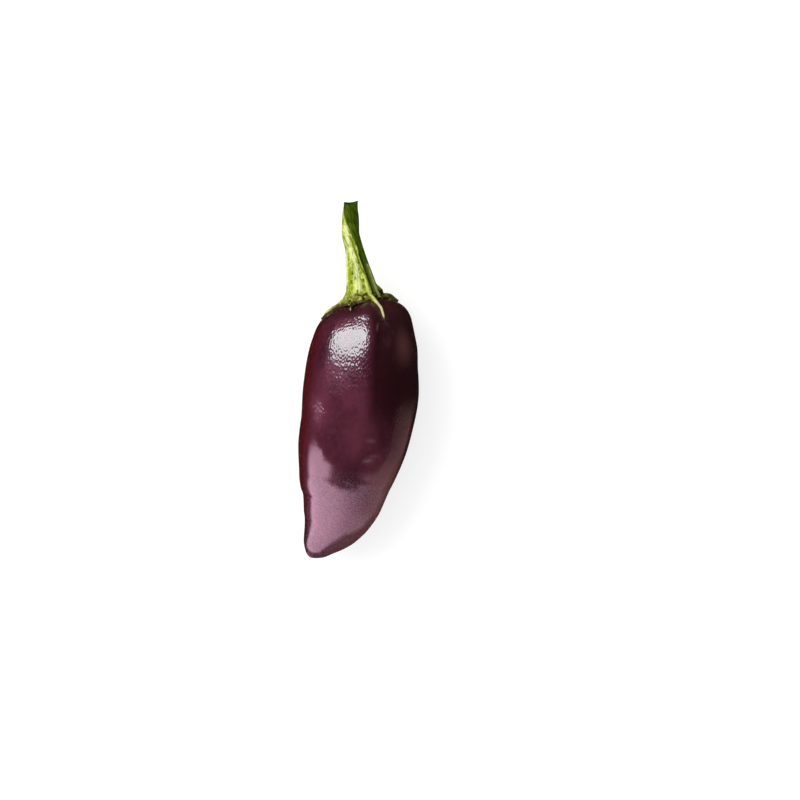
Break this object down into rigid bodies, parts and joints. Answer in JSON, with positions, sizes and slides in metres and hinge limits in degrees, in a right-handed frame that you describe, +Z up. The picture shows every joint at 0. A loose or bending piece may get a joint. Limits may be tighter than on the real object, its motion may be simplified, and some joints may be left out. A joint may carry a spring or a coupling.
{
  "type": "purple jalapeno pepper",
  "caption": "Fresh purple jalapeno pepper lying on its side, a blunt tapering pod with a green toothed calyx and a cut stalk.",
  "frame": {"origin": "on the surface that the pepper lies on, under the middle of its box", "axes": "+Y along the pepper towards the cut end of the stalk, -Y towards the blossom end, +Z up off the surface it lies on"},
  "size_m": [0.0326, 0.0966, 0.0288],
  "materials": {
    "pod_skin": "waxy gloss, dark plum with a maroon flush",
    "stalk_green": "satin, fresh green, ribbed"
  },
  "bodies": {
    "root": {"pod": "pod_skin", "stalk_and_calyx": "stalk_green"}
  },
  "joints": []
}
